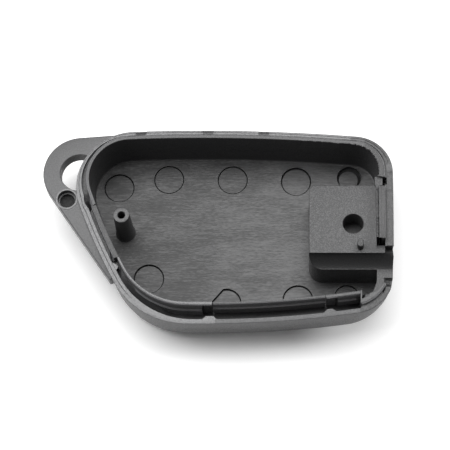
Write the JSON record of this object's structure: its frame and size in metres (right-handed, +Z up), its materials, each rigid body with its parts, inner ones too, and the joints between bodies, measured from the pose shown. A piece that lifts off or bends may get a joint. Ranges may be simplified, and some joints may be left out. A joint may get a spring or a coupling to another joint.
{
  "type": "key fob shell half",
  "caption": "Open rear half of a key fob shell in dark plastic, with snap tongues round the rim, a screw post, a blade seat and a key ring lug.",
  "frame": {"origin": "under the middle of the whole footprint, lug included, on the plane that the shell lies on", "axes": "+X from the key ring lug to the blade end, +Y from the front to the long back edge, +Z up out of the open side"},
  "size_m": [0.0652, 0.0376, 0.0128],
  "materials": {
    "case_plastic": "satin moulded plastic, brushed along X on the floor",
    "pad_plastic": "fine spark-eroded grain"
  },
  "bodies": {
    "case": {"rear_case": "case_plastic", "back_lip": "case_plastic", "front_left_lip": "case_plastic", "corner_lip": "case_plastic", "key_ring_lug": "case_plastic", "screw_post": "case_plastic", "blade_seat": "pad_plastic", "blade_nub": "pad_plastic"},
    "left_tongue": {"left_snap_tongue": "case_plastic"},
    "front_tongue": {"front_snap_tongue": "case_plastic"},
    "corner_tongue": {"corner_snap_tongue": "case_plastic"},
    "right_bar": {"right_snap_bar": "case_plastic"}
  },
  "joints": [
    {"name": "left_tongue_bend", "type": "hinge", "parent": "case", "child": "left_tongue", "pos_m": [-0.02111, -0.00072, 0.0057], "axis": [-0.402, 0.9156, 0], "range_deg": [0, 5], "stiffness_Nm_per_rad": 0.26},
    {"name": "front_tongue_bend", "type": "hinge", "parent": "case", "child": "front_tongue", "pos_m": [0.00948, -0.01534, 0.0057], "axis": [-0.998, -0.0639, 0], "range_deg": [0, 5], "stiffness_Nm_per_rad": 0.26},
    {"name": "corner_tongue_bend", "type": "hinge", "parent": "case", "child": "corner_tongue", "pos_m": [0.02295, -0.01399, 0.0057], "axis": [-0.9907, -0.136, 0], "range_deg": [0, 5], "stiffness_Nm_per_rad": 0.12},
    {"name": "right_bar_bend", "type": "hinge", "parent": "case", "child": "right_bar", "pos_m": [0.03069, 0.00231, 0.0057], "axis": [-0.0084, -1, 0], "range_deg": [0, 5], "stiffness_Nm_per_rad": 0.12}
  ]
}
